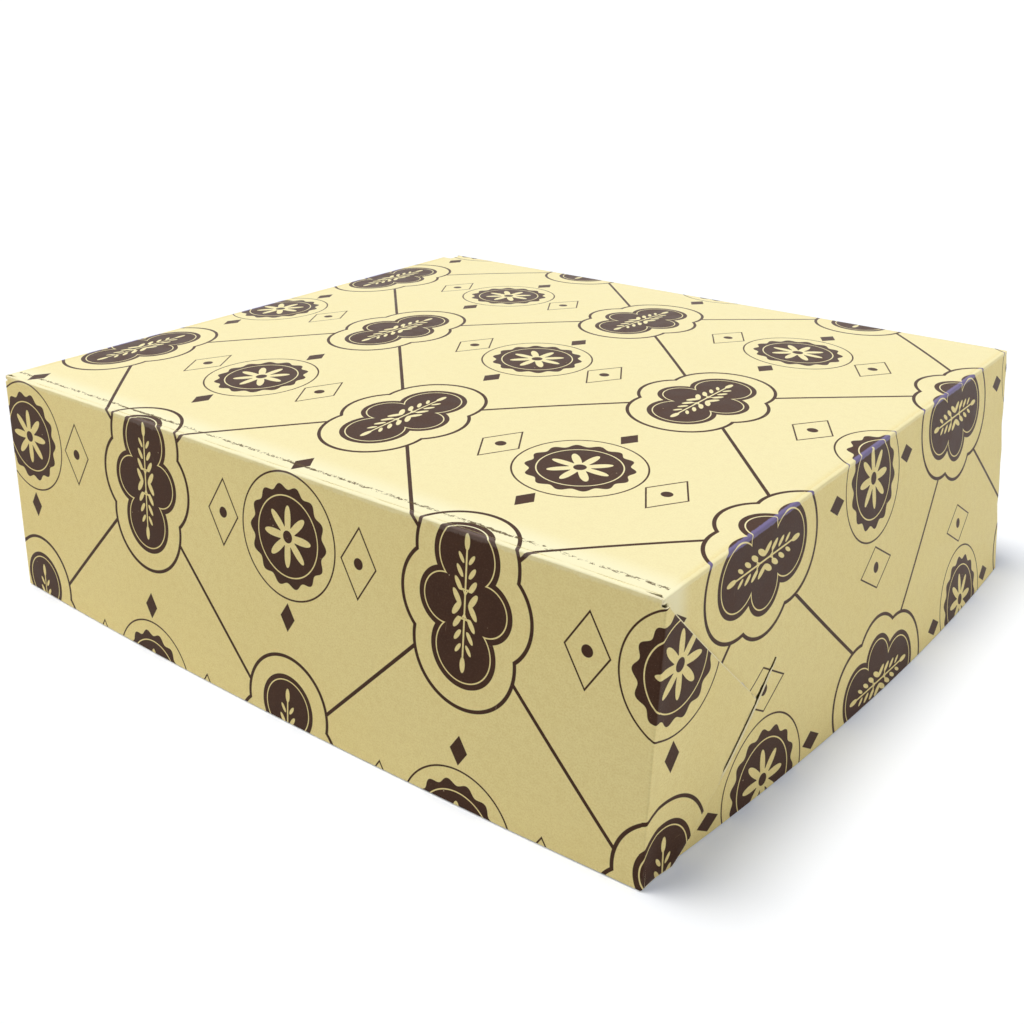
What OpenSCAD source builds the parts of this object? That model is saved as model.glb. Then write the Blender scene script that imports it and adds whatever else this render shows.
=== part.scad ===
// Pastry box folded from one printed sheet of board: a tray with locked corners and a full-depth lid.
// Right is +X, the hinge is at +Y, and the box stands on z = 0 with the origin under its middle.

/* [Box] */
// Length of the closed box along its front, outside the lock ears
box_length = 268; // [190:1:400]
// Width of the closed box from the front skirt's top to the hinge
box_width = 240; // [170:1:360]
// Height of the closed box at its top edges
box_height = 80; // [62:1:130]

/* [Board] */
// Thickness of the folding board
board = 0.5; // [0.35:0.05:0.8]
// Outside radius of a fold
fold_r = 1.5; // [1.2:0.1:2.5]
// Air between two sheets that lie on each other
sheet_gap = 0.3; // [0.2:0.05:0.6]

/* [Lid] */
// Room between the lid's skirts and the tray inside them
lid_play = 1.5; // [1.2:0.1:4]
// Height of the skirts' lower edges above the floor
skirt_lift = 0.4; // [0.2:0.1:5]
// Rise of the middle of the lid above its edges
lid_crown = 3.9; // [0.5:0.1:8]
// How far the front skirt's lower edge stands out from its fold
front_lean = 5; // [0.5:0.1:10]
// Extra swell of the front skirt's lower edge at its middle
front_bow = 3.4; // [0.5:0.1:8]
// How far an end skirt's rear corner springs outwards
end_flare = 12; // [1:0.5:20]
// Extra swell of an end skirt's lower edge at its middle
end_bow = 6; // [0.5:0.1:10]
// How far an end skirt's rear edge is cut forwards at its foot
rear_taper = 13; // [3:0.5:30]
// Length of the relief notch at the lid's left rear corner
notch_l = 7; // [3:0.5:12]
// Width of the relief notch
notch_w = 5; // [3:0.5:8]

/* [Tray] */
// Distance from the lid's top face down to the tray's rim
rim_drop = 1.5; // [1:0.1:10]

/* [Corner locks] */
// Length of the slit that takes a lock tongue
slit_l = 38; // [30:0.5:40]
// Width of the slit
slit_w = 1.2; // [1:0.1:2]
// Slope of the slit
slit_angle = 42; // [35:1:50]
// Distance of the slit's near end from the box's corner
slit_in = 27; // [20:0.5:40]
// Distance of the slit's near end from the panel's free edge
slit_up = 14; // [8:0.5:20]
// Width of the tongue where it passes the slit
tongue_w = 24; // [14:0.5:26]
// Length of the tongue behind the slit
tongue_l = 10; // [6:0.5:14]
// Radius of the tongue's corners
tongue_r = 4; // [1:0.5:5]
// Distance from the folded corner to the start of a lock ear
ear_start = 0.8; // [0.3:0.1:3]
// Radius of the ear's free corners
ear_r = 1.2; // [0.5:0.1:3]
// How much nearer to the corner the ear's foot lies than the line of the slit
ear_foot_in = 4; // [0:0.5:6]

/* [Hidden] */

// Colour of the printed ground
cream = "#efe6b2";

// One overrun for all cuts, and how far shapes that are fused into one piece reach into each other
cut = 1;
fuse = 0.05;

// Smoothness of the folds, and the counts of flat strips in the curved sheets
fold_steps = 48;
arc_steps = 6;
long_steps = 14;
deep_steps = 6;

// The front skirt bulges past the fold, so the sheet's own middle lies behind the box's middle
middle_y = (front_lean + front_bow) / 2;
front_y = middle_y - box_width / 2;
back_y = middle_y + box_width / 2;
front_x = box_length / 2;
front_half = front_x - fold_r;

// The end skirts lie inside the lock ears, and the tray inside the skirts
skirt_x = front_x - board - sheet_gap;
top_half = skirt_x - fold_r;
tray_x = skirt_x - board - lid_play;
wall_x = tray_x - board - sheet_gap;
tray_front_y = front_y + board + lid_play;

// Heights of the folds and free edges
top_fold_z = box_height - fold_r;
skirt_depth = top_fold_z - skirt_lift;
rim_z = box_height - board - rim_drop;
wall_depth = rim_z - fold_r;
lean_angle = atan(front_lean / skirt_depth);

// Share of the way down a skirt, from its fold to its lower edge
function down_share(z) = (top_fold_z - z) / skirt_depth;

// Share of the way back along an end skirt, which stays at 0 in front of the corner fold
function back_share(y) = max(0, (y - front_y - fold_r) / (box_width - 2 * fold_r));

// Arched share that is 0 at both ends of a span and 1 at its middle
function arch_share(s) = 4 * s * (1 - s);

// How far each sheet stands off its flat place
function end_offset(y, z) =
    down_share(z) * (end_bow * arch_share(back_share(y)) + end_flare * back_share(y));
function front_offset(x, z) =
    down_share(z) * (front_lean + front_bow * arch_share((x + front_half) / (2 * front_half)));
function top_offset(x, y) =
    lid_crown * arch_share((x + top_half) / (2 * top_half)) * arch_share(back_share(y));

// Evenly spaced places from one value to another
function places(from, to, steps) = [for (i = [0:steps]) from + (to - from) * i / steps];

// A corner of an outline, rounded by an arc that touches both of its sides
function toward(a, b) = (b - a) / norm(b - a);
function round_corner(before, corner, after, r) =
    let (u = toward(corner, before), v = toward(corner, after),
        half = acos(u * v) / 2,
        centre = corner + (u + v) / norm(u + v) * r / sin(half),
        start = corner + u * r / tan(half),
        end = corner + v * r / tan(half),
        a0 = atan2(start[1] - centre[1], start[0] - centre[0]),
        a1 = atan2(end[1] - centre[1], end[0] - centre[0]),
        turn = a1 - a0 - 360 * round((a1 - a0) / 360))
    [for (i = [0:arc_steps]) let (a = a0 + turn * i / arc_steps) centre + r * [cos(a), sin(a)]];

// A point at a distance k along the slit from its near end and n across it, away from the corner.
// It is given as the distance from the corner and the distance from the fold of the panel.
function slit_point(k, n, depth) =
    [slit_in + k * cos(slit_angle) + n * sin(slit_angle),
     fold_r + depth - slit_up - k * sin(slit_angle) + n * cos(slit_angle)];

// The slit, the ear and the tongue as outlines, for a panel of a given depth
function slit_outline(depth) =
    [for (p = [[0, -1], [slit_l, -1], [slit_l, 1], [0, 1]]) slit_point(p[0], p[1] * slit_w / 2, depth)];

// The ear's outer edge leaves the line of the slit at its near end and meets the panel's free edge
// at the foot, which stays beyond the fold
function ear_foot(depth, nearest) =
    let (on_line = slit_in - slit_up / tan(slit_angle))
    [max(nearest, on_line - ear_foot_in), fold_r + depth];

function ear_outline(depth, lean) =
    let (at_crease = fold_r / cos(atan(lean / depth)),
        start = [at_crease - lean * ear_start / depth, fold_r + ear_start],
        tip = slit_point(tongue_w + ear_r, -board / 2, depth),
        bend = slit_point(0, -board / 2, depth),
        heel = [at_crease - lean, fold_r + depth])
    concat([start], round_corner(start, tip, bend, ear_r), [bend, ear_foot(depth, at_crease + ear_r), heel]);

function tongue_outline(depth) =
    let (near = slit_point(sheet_gap, board / 2, depth),
        near_end = slit_point(sheet_gap, tongue_l, depth),
        far_end = slit_point(tongue_w, tongue_l, depth),
        far = slit_point(tongue_w, board / 2, depth))
    concat([near], round_corner(near, near_end, far_end, tongue_r),
        round_corner(near_end, far_end, far, tongue_r), [far]);

// The neck between them starts at the ear's edge, or reaches a little into the ear it is fused to
function neck_outline(depth, reach) =
    [for (p = [[sheet_gap, -board / 2 - reach], [tongue_w, -board / 2 - reach],
        [tongue_w, board / 2 + fuse], [sheet_gap, board / 2 + fuse]])
        slit_point(p[0], p[1], depth)];

// A closed sheet between two grids of points, with the outer face first
module sheet(outer, inner) {
    rows = len(outer);
    cols = len(outer[0]);
    size = rows * cols;
    faces = [for (r = [0:rows - 2]) for (c = [0:cols - 2]) let (i = r * cols + c)
        each [[i, i + 1, i + cols + 1], [i, i + cols + 1, i + cols],
            [size + i, size + i + cols + 1, size + i + 1],
            [size + i, size + i + cols, size + i + cols + 1]]];
    ends = [for (r = [0:rows - 2]) for (c = [0, cols - 1]) let (i = r * cols + c, j = i + cols)
        each c == 0 ? [[i, j, size + j], [i, size + j, size + i]]
            : [[i, size + j, j], [i, size + i, size + j]]];
    sides = [for (c = [0:cols - 2]) for (r = [0, rows - 1]) let (i = r * cols + c, j = i + 1)
        each r == 0 ? [[i, size + j, j], [i, size + i, size + j]]
            : [[i, j, size + j], [i, size + j, size + i]]];
    polyhedron([for (side = [outer, inner]) for (row = side) each row], concat(faces, ends, sides));
}

// The curved sheet of the right end, between two distances from the skirt's outer face
module end_sheet(near, far) {
    ys = concat([front_y - front_lean - cut], places(front_y + fold_r, back_y, long_steps));
    zs = places(skirt_lift - cut, top_fold_z + cut, deep_steps);
    sheet([for (y = ys) [for (z = zs) [skirt_x + far + end_offset(y, z), y, z]]],
        [for (y = ys) [for (z = zs) [skirt_x + near + end_offset(y, z), y, z]]]);
}

// A prism along X whose outline is given by distances from the front corner and from the top
module end_prism(outline) {
    rotate([90, 0, 90])
        linear_extrude(box_length)
            polygon([for (p = outline) [front_y + p[0], box_height - p[1]]]);
}

// A quarter-round fold, from the +X side to the +Y side of its axis
module fold(length) {
    rotate_extrude(angle = 90, $fn = fold_steps)
        translate([fold_r - board, 0])
            square([board, length]);
}

// A fold along X from the front side to the top side, centred on x = 0
module fold_along_x(length) {
    translate([length / 2, 0, 0])
        rotate([90, 0, -90])
            fold(length);
}

// A fold along Y from the right side to the top side, which starts at y = 0 and runs backwards
module fold_along_y(length) {
    translate([0, length, 0])
        rotate([90, 0, 0])
            fold(length);
}

// Mirror image on the left side or at the back of the tray
module on_left() {
    mirror([1, 0, 0]) children();
}

module at_back() {
    translate([0, tray_front_y + back_y, 0])
        mirror([0, 1, 0]) children();
}

// Flat base of the tray
module base_panel() {
    color(cream)
        translate([fold_r - wall_x, tray_front_y + fold_r, 0])
            cube([2 * wall_x - 2 * fold_r, back_y - tray_front_y - 2 * fold_r, board]);
}

// Front wall of the tray
module front_wall() {
    color(cream)
        translate([fold_r - tray_x, tray_front_y, fold_r])
            cube([2 * tray_x - 2 * fold_r, board, wall_depth]);
}

// Back wall of the tray, which rises to the lid's hinge
module back_wall() {
    color(cream)
        translate([fold_r - tray_x, back_y - board, fold_r])
            cube([2 * tray_x - 2 * fold_r, board, top_fold_z - fold_r]);
}

// The outlines of the tray's locks are those of the lid, turned upside down
module tray_prism(outline) {
    rotate([90, 0, 90])
        linear_extrude(box_length)
            polygon([for (p = outline) [tray_front_y + p[0], p[1]]]);
}

// A flat layer of the tray's right end between two distances from the middle
module tray_layer(near, far) {
    translate([near, front_y, 0])
        cube([far - near, box_width, box_height]);
}

// End wall of the tray with a lock slit near each corner
module end_wall() {
    color(cream)
        difference() {
            translate([wall_x - board, tray_front_y + fold_r, fold_r])
                cube([board, back_y - tray_front_y - 2 * fold_r, wall_depth]);
            tray_prism(slit_outline(wall_depth));
            at_back() tray_prism(slit_outline(wall_depth));
        }
}

module right_wall() {
    end_wall();
}

module left_wall() {
    on_left() end_wall();
}

// Ear of the tray, which folds over the end wall and hooks its tongue through the slit
module tray_ear() {
    color(cream) {
        intersection() {
            tray_prism(ear_outline(wall_depth, 0));
            tray_layer(tray_x - board, tray_x);
        }
        intersection() {
            tray_prism(neck_outline(wall_depth, fuse));
            tray_layer(wall_x - 2 * board - sheet_gap, tray_x);
        }
        intersection() {
            tray_prism(tongue_outline(wall_depth));
            tray_layer(wall_x - 2 * board - sheet_gap, wall_x - board - sheet_gap);
        }
    }
}

module front_right_tray_ear() {
    tray_ear();
}

module front_left_tray_ear() {
    on_left() tray_ear();
}

module back_right_tray_ear() {
    at_back() tray_ear();
}

module back_left_tray_ear() {
    on_left() at_back() tray_ear();
}

// Folds between the base and its walls
module base_front_crease() {
    color(cream)
        translate([0, tray_front_y + fold_r, fold_r])
            mirror([0, 0, 1])
                fold_along_x(2 * wall_x - 2 * fold_r);
}

module base_back_crease() {
    at_back() base_front_crease();
}

module base_right_crease() {
    color(cream)
        translate([wall_x - fold_r, tray_front_y + fold_r, fold_r])
            mirror([0, 0, 1])
                fold_along_y(back_y - tray_front_y - 2 * fold_r);
}

module base_left_crease() {
    on_left() base_right_crease();
}

// Upright folds between the tray's long walls and their ears
module tray_crease() {
    color(cream)
        translate([tray_x - fold_r, tray_front_y + fold_r, fold_r + ear_start])
            mirror([0, 1, 0])
                fold(wall_depth - ear_start);
}

module front_right_tray_crease() {
    tray_crease();
}

module front_left_tray_crease() {
    on_left() tray_crease();
}

module back_right_tray_crease() {
    at_back() tray_crease();
}

module back_left_tray_crease() {
    on_left() at_back() tray_crease();
}

// Top panel of the lid, gently crowned, with a relief notch at its left rear corner
module lid_top() {
    xs = places(-top_half, top_half, long_steps);
    ys = places(front_y + fold_r, back_y - fold_r, long_steps);
    color(cream)
        difference() {
            sheet([for (x = xs) [for (y = ys) [x, y, box_height + top_offset(x, y)]]],
                [for (x = xs) [for (y = ys) [x, y, box_height - board + top_offset(x, y)]]]);
            translate([-top_half - cut, back_y - fold_r - notch_l, box_height - board - cut])
                cube([notch_w - fold_r + cut, notch_l + cut, board + lid_crown + 2 * cut]);
        }
}

// End skirt of the lid with its slanted lock slit and a rear edge that tapers towards its foot.
// The relief is the length of the notch behind it.
module end_skirt(relief) {
    head = fold_r;
    foot = box_height - skirt_lift;
    color(cream)
        difference() {
            intersection() {
                end_sheet(-board, 0);
                end_prism([[fold_r, head], [box_width - fold_r - relief, head],
                    [box_width - fold_r - rear_taper, foot], [fold_r, foot]]);
            }
            end_prism(slit_outline(skirt_depth));
        }
}

module right_skirt() {
    end_skirt(0);
}

module left_skirt() {
    on_left() end_skirt(notch_l);
}

// Folds between the lid's top and its end skirts
module skirt_crease(relief) {
    color(cream)
        translate([top_half, front_y + fold_r, top_fold_z])
            fold_along_y(box_width - 2 * fold_r - relief);
}

module right_skirt_crease() {
    skirt_crease(0);
}

module left_skirt_crease() {
    on_left() skirt_crease(notch_l);
}

// Hinge fold between the tray's back wall and the lid's top
module hinge_crease() {
    color(cream)
        translate([0, back_y - fold_r, top_fold_z])
            mirror([0, 1, 0])
                fold_along_x(2 * tray_x - 2 * fold_r);
}

// Front skirt of the lid, which leans out a little and swells along its lower edge
module front_skirt() {
    xs = places(-front_half, front_half, long_steps);
    zs = places(skirt_lift, top_fold_z, deep_steps);
    color(cream)
        sheet([for (x = xs) [for (z = zs) [x, front_y - front_offset(x, z), z]]],
            [for (x = xs) [for (z = zs) [x, front_y + board - front_offset(x, z), z]]]);
}

// Fold between the lid's top and its front skirt
module front_skirt_crease() {
    color(cream)
        translate([0, front_y + fold_r, top_fold_z])
            fold_along_x(2 * top_half);
}

// Lock ear of the lid, which lies on the outside of the end skirt
module lock_ear() {
    color(cream)
        intersection() {
            end_sheet(sheet_gap, sheet_gap + board);
            end_prism(ear_outline(skirt_depth, front_lean));
        }
}

// Tongue of the lock ear, which passes the slit and lies behind the end skirt
module lock_tongue() {
    color(cream) {
        intersection() {
            end_sheet(-2 * board - sheet_gap, board + sheet_gap);
            end_prism(neck_outline(skirt_depth, 0));
        }
        intersection() {
            end_sheet(-2 * board - sheet_gap, -board - sheet_gap);
            end_prism(tongue_outline(skirt_depth));
        }
    }
}

// Leaning fold between the front skirt and its lock ear
module lock_crease() {
    color(cream)
        intersection() {
            translate([front_half, front_y, top_fold_z])
                rotate([-lean_angle, 0, 0])
                    translate([0, fold_r, -box_height])
                        mirror([0, 1, 0])
                            fold(2 * box_height);
            translate([0, front_y - box_height, skirt_lift])
                cube([box_length, box_width, skirt_depth - ear_start]);
        }
}

module right_lock_ear() {
    lock_ear();
}

module left_lock_ear() {
    on_left() lock_ear();
}

module right_lock_tongue() {
    lock_tongue();
}

module left_lock_tongue() {
    on_left() lock_tongue();
}

module right_lock_crease() {
    lock_crease();
}

module left_lock_crease() {
    on_left() lock_crease();
}

base_panel();
front_wall();
back_wall();
left_wall();
right_wall();
front_left_tray_ear();
front_right_tray_ear();
back_left_tray_ear();
back_right_tray_ear();
base_front_crease();
base_back_crease();
base_left_crease();
base_right_crease();
front_left_tray_crease();
front_right_tray_crease();
back_left_tray_crease();
back_right_tray_crease();
lid_top();
left_skirt();
right_skirt();
left_skirt_crease();
right_skirt_crease();
hinge_crease();
front_skirt();
front_skirt_crease();
left_lock_ear();
left_lock_tongue();
left_lock_crease();
right_lock_ear();
right_lock_tongue();
right_lock_crease();
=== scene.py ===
# %% [markdown]
# # A bakery box folded from one printed sheet
# The box is one die-cut sheet of folding board. Its base and four walls make a tray, and a lid as deep
# as the tray hangs on a fold at the back. Two ears of the front skirt turn the corners and hook their
# tongues through slanted slits in the end skirts. The lesson follows the carton maker: every panel is
# cut flat, takes its print from its place in the flat sheet, is turned up to its place and gets the
# small swells and springs of real board last.

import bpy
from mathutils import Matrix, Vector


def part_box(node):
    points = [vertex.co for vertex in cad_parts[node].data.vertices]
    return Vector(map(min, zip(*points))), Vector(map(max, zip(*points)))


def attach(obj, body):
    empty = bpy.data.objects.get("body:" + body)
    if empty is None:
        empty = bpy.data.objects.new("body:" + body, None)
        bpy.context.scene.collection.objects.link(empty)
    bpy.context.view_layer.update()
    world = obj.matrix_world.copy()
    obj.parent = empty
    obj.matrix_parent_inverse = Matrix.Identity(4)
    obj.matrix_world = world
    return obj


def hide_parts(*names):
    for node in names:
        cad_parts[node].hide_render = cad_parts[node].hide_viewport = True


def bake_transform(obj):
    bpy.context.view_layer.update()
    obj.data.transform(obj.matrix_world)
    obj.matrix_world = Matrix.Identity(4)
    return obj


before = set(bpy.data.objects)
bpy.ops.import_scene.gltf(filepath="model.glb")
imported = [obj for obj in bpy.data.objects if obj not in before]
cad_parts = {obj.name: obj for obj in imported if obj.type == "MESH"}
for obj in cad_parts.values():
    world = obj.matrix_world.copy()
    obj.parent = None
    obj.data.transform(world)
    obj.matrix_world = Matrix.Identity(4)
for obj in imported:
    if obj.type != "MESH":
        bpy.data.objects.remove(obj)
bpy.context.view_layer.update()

# %% Tools
from math import acos, atan, atan2, cos, hypot, pi, radians, sin, tan

import bmesh
import bpy
from mathutils import Euler, Matrix, Vector

MM = 0.001

# %% [markdown]
# ## Camera
# The camera comes first, because it decides how much detail each side needs. Its height, turn and
# distance were worked out from the corners of the box in the photograph, so the perspective of the
# render is that of the photograph. It stands a little above the lid and looks at the right front corner.

# %% Camera
CAMERA_TURN, CAMERA_RISE, CAMERA_ROLL = radians(38.091), radians(24.451), radians(-0.246)
CAMERA_PLACE = Vector((252.54, -322.98, 209.19)) * MM
LENS = 42.358

lens_data = bpy.data.cameras.new("Camera")
lens_data.lens = LENS
lens_data.sensor_width = 36
lens_data.clip_start, lens_data.clip_end = 0.01, 60
camera = bpy.data.objects.new("Camera", lens_data)
bpy.context.scene.collection.objects.link(camera)
aim = Euler((pi / 2 - CAMERA_RISE, 0, CAMERA_TURN)).to_matrix() @ Matrix.Rotation(CAMERA_ROLL, 3, "Z")
camera.matrix_world = Matrix.Translation(CAMERA_PLACE) @ aim.to_4x4()
bpy.context.scene.camera = camera
print("camera at", [round(v, 3) for v in CAMERA_PLACE])

# %% [markdown]
# ## Measures
# The frame says where every fold and edge is. Reading them from its nodes keeps the dressed box and
# the solid one together. The swells of the sheets are those of the solid part too.

# %% Measures of the box
BOARD = 0.5 * MM
FOLD = 1.5 * MM
ARC = FOLD * pi / 2
GAP = 0.3 * MM

TOP_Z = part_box("front_skirt_crease")[1].z
FRONT_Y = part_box("front_skirt_crease")[0].y
BACK_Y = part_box("back_wall")[1].y
LID_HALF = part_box("right_skirt_crease")[1].x
TOP_HALF = LID_HALF - FOLD
SKIRT_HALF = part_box("front_skirt")[1].x
EAR_HALF = LID_HALF + GAP + BOARD
TRAY_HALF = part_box("front_right_tray_ear")[1].x
WALL_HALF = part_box("right_wall")[1].x
TRAY_FRONT_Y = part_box("front_wall")[0].y
RIM_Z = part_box("front_wall")[1].z
SKIRT_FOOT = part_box("front_skirt")[0].z
FOLD_Z = TOP_Z - FOLD
SKIRT_DEPTH = FOLD_Z - SKIRT_FOOT
WALL_DEPTH = RIM_Z - FOLD
WIDTH = BACK_Y - FRONT_Y
print("lid", round(2 * LID_HALF / MM, 1), "by", round(WIDTH / MM, 1), "tray rim", round(RIM_Z / MM, 1))

# %% Swells of the sheets
CROWN = 3.9 * MM
FRONT_LEAN, FRONT_BOW = 5.0 * MM, 3.4 * MM
END_FLARE, END_BOW = 12 * MM, 6 * MM
LEAN = atan(FRONT_LEAN / SKIRT_DEPTH)
print("front skirt leans", round(LEAN * 180 / pi, 1), "degrees")


def down(z):
    return min(1, max(0, (FOLD_Z - z) / SKIRT_DEPTH))


def back(y):
    return min(1, max(0, (y - FRONT_Y - FOLD) / (WIDTH - 2 * FOLD)))


def arch(share):
    return max(0, 4 * share * (1 - share))


def crown_share(place):
    return arch((place.x + TOP_HALF) / (2 * TOP_HALF)) * arch(back(place.y))


def front_share(place):
    across = (place.x + SKIRT_HALF) / (2 * SKIRT_HALF)
    return down(place.z) * (FRONT_LEAN + FRONT_BOW * arch(across)) / (FRONT_LEAN + FRONT_BOW)


def end_share(place):
    swell = END_BOW * arch(back(place.y)) + END_FLARE * back(place.y)
    return down(place.z) * swell / (END_BOW + END_FLARE)


# %% [markdown]
# ## The flat sheet
# The print runs over the folds, because the sheet is printed before it is folded. So each piece is
# modelled where it lies in the flat sheet and keeps that place as its UV map, in metres. Scaling a
# picture over each panel would break the pattern at every fold; the place in the sheet never does.

# %% Places of the folds in the flat sheet
FLAT_FRONT = FRONT_Y + FOLD
FLAT_SKIRT = FLAT_FRONT - ARC
FLAT_BACK = BACK_Y - FOLD
FLAT_BACK_WALL = FLAT_BACK + ARC
FLAT_BASE = FLAT_BACK_WALL + (FOLD_Z - FOLD) + ARC
BASE_WIDTH = FLAT_BACK - (TRAY_FRONT_Y + FOLD)
FLAT_FRONT_WALL = FLAT_BASE + BASE_WIDTH + ARC
FLAT_END = TOP_HALF + ARC
FLAT_EAR = SKIRT_HALF + ARC
print("flat sheet", round((FLAT_FRONT_WALL + WALL_DEPTH - FLAT_SKIRT + SKIRT_DEPTH) / MM), "mm long")

# %% [markdown]
# ### Working on one sheet
# Every panel goes through the same few steps: a grid of board is laid in the flat sheet, picked at and
# trimmed there, given its print place, turned up about its fold and swelled. Each step is an ordinary
# tool of edit mode or a modifier, wrapped in a short function so that the lesson can repeat it.

# %% Picking and trimming


def only(piece):
    bpy.ops.object.select_all(action="DESELECT")
    piece.select_set(True)
    bpy.context.view_layer.objects.active = piece


def choose(piece, test):
    """Selects the points whose place passes the test, in edit mode."""
    bpy.ops.mesh.select_mode(type="VERT")
    bpy.ops.mesh.select_all(action="DESELECT")
    form = bmesh.from_edit_mesh(piece.data)
    for point in form.verts:
        point.select = bool(test(point.co))
    form.select_flush(True)
    bmesh.update_edit_mesh(piece.data)


def choose_faces(piece, test):
    """Selects the faces whose middle passes the test, in edit mode."""
    bpy.ops.mesh.select_all(action="DESELECT")
    bpy.ops.mesh.select_mode(type="FACE")
    form = bmesh.from_edit_mesh(piece.data)
    for face in form.faces:
        face.select = bool(test(face.calc_center_median()))
    bmesh.update_edit_mesh(piece.data)


def score(at, away, **what):
    """Cuts what is selected along the line of the flat sheet that runs through `at`, across `away`."""
    bpy.ops.mesh.bisect(plane_co=(*at, 0), plane_no=(*away, 0), **what)


def trim(at, away):
    """Cuts off what lies beyond a line of the flat sheet."""
    bpy.ops.mesh.select_all(action="SELECT")
    score(at, away, clear_outer=True)


def way_out(line, within):
    """The direction across a line that leads away from what lies within."""
    across = line.orthogonal()
    return across if across.dot(within) < 0 else -across


def merge_slivers():
    """Joins the points that two cuts leave almost on each other."""
    bpy.ops.mesh.select_all(action="SELECT")
    bpy.ops.mesh.remove_doubles(threshold=0.04 * MM)
    bpy.ops.mesh.dissolve_degenerate(threshold=0.01 * MM)


# %% Laying a sheet and keeping its print place


def lay_flat(name, low, high, cell):
    """A fresh rectangle of board in the flat sheet, printed side up, left in edit mode."""
    low, high = (min(low[0], high[0]), min(low[1], high[1])), (max(low[0], high[0]), max(low[1], high[1]))
    size = (high[0] - low[0], high[1] - low[1])
    cells = [max(1, round(length / cell)) for length in size]
    bpy.ops.object.select_all(action="DESELECT")
    bpy.ops.mesh.primitive_grid_add(x_subdivisions=cells[0], y_subdivisions=cells[1], size=1)
    piece = bpy.context.active_object
    piece.name = piece.data.name = name
    piece.matrix_world = Matrix.Translation(((low[0] + high[0]) / 2, (low[1] + high[1]) / 2, 0)) @ \
        Matrix.Diagonal((size[0], size[1], 1, 1))
    bpy.ops.object.transform_apply(location=True, rotation=True, scale=True)
    bpy.ops.object.mode_set(mode="EDIT")
    return piece


def as_laid(place):
    return place.x, place.y


def keep_print_place(piece, flat=as_laid):
    """Writes each point's place in the flat sheet as the piece's UV map."""
    while piece.data.uv_layers:
        piece.data.uv_layers.remove(piece.data.uv_layers[0])
    layer = piece.data.uv_layers.new(name="sheet")
    for corner in piece.data.loops:
        layer.data[corner.index].uv = flat(piece.data.vertices[corner.vertex_index].co)


# %% Folding up and swelling


def fold_up(piece, flat, room, across, along, print_place=as_laid):
    """Keeps the print place, then turns the piece: its point `flat` comes to `room`, its sides as told."""
    bpy.ops.object.mode_set(mode="OBJECT")
    keep_print_place(piece, print_place)
    only(piece)
    turn = Matrix((across, along, Vector(across).cross(Vector(along)))).transposed().to_4x4()
    piece.matrix_world = Matrix.Translation(room) @ turn @ Matrix.Translation((-flat[0], -flat[1], 0))
    bpy.ops.object.transform_apply(location=True, rotation=True, scale=True)


def swell(piece, direction, reach, share):
    """Moves each point along one axis by its own share of the reach."""
    only(piece)
    group = piece.vertex_groups.new(name="swell")
    for point in piece.data.vertices:
        group.add([point.index], share(point.co), "REPLACE")
    lift = piece.modifiers.new("swell", "DISPLACE")
    lift.direction, lift.strength, lift.mid_level = direction, reach, 0
    lift.vertex_group = group.name
    bpy.ops.object.modifier_apply(modifier=lift.name)
    piece.vertex_groups.clear()


# %% [markdown]
# ## Materials
# Four finishes are enough for the whole box: the printed and lightly coated outside, the bare inside,
# the cut edge, where the pale core of the board shows, and the wall of the slits, painted dark as the
# shade inside them. The print is worked out from the place in the flat sheet, in millimetres, by small sums
# in the node tree.

# %% Nodes and their links
material = None


def add_node(kind, **settings):
    made = material.node_tree.nodes.new(kind)
    for key, value in settings.items():
        setattr(made, key, value)
    return made


def plug(source, socket):
    if isinstance(source, bpy.types.NodeSocket):
        material.node_tree.links.new(source, socket)
    else:
        socket.default_value = source


def plug_all(sources, sockets):
    for source, socket in zip(sources, sockets):
        plug(source, socket)


def plug_named(node, **sources):
    plug_all(sources.values(), [node.inputs[name] for name in sources])


# %% Sums


def sums(operation, first, second=0.0, third=0.0):
    made = add_node("ShaderNodeMath", operation=operation)
    plug_all((first, second, third), made.inputs)
    return made.outputs[0]


def sum_of(operation):
    return lambda first, second=0.0: sums(operation, first, second)


add, less, times = sum_of("ADD"), sum_of("SUBTRACT"), sum_of("MULTIPLY")
lower, higher, size_of = sum_of("MINIMUM"), sum_of("MAXIMUM"), sum_of("ABSOLUTE")


def length_of(a, b):
    return sums("SQRT", add(times(a, a), times(b, b)))


# %% Steps, lines and choices


def ramp(value, low, high, start=0.0, end=1.0):
    """A smooth step from start to end as the value goes from low to high."""
    made = add_node("ShaderNodeMapRange", interpolation_type="SMOOTHSTEP")
    plug_all((value, low, high, start, end), made.inputs)
    return made.outputs[0]


def inside(distance, soft=0.06):
    """1 where a signed distance in millimetres is below 0, with an edge as soft as ink on board."""
    return ramp(distance, -soft, soft, 1, 0)


def stroke(distance, width, soft=0.06):
    return inside(less(size_of(distance), width / 2), soft)


def pick(choice, when_0, when_1):
    """when_0 where the choice is 0 and when_1 where it is 1."""
    return add(when_0, times(choice, less(when_1, when_0)))


# %% Colours and noises


def blend_colour(share, first, second):
    made = add_node("ShaderNodeMix", data_type="RGBA")
    plug_all((share, first, second), (made.inputs[0], made.inputs[6], made.inputs[7]))
    return made.outputs[2]


def grain(coordinates, scale, detail=2.0, rough=0.5):
    made = add_node("ShaderNodeTexNoise")
    plug_named(made, Vector=coordinates, Scale=scale, Detail=detail, Roughness=rough)
    return made.outputs["Fac"]


def stretched(coordinates, scale, turn=0.0, shift=(0, 0, 0)):
    made = add_node("ShaderNodeMapping")
    plug_named(made, Vector=coordinates, Location=shift, Rotation=(0, 0, turn), Scale=scale)
    return made.outputs[0]


# %% A fresh material, its surface and its relief


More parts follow.
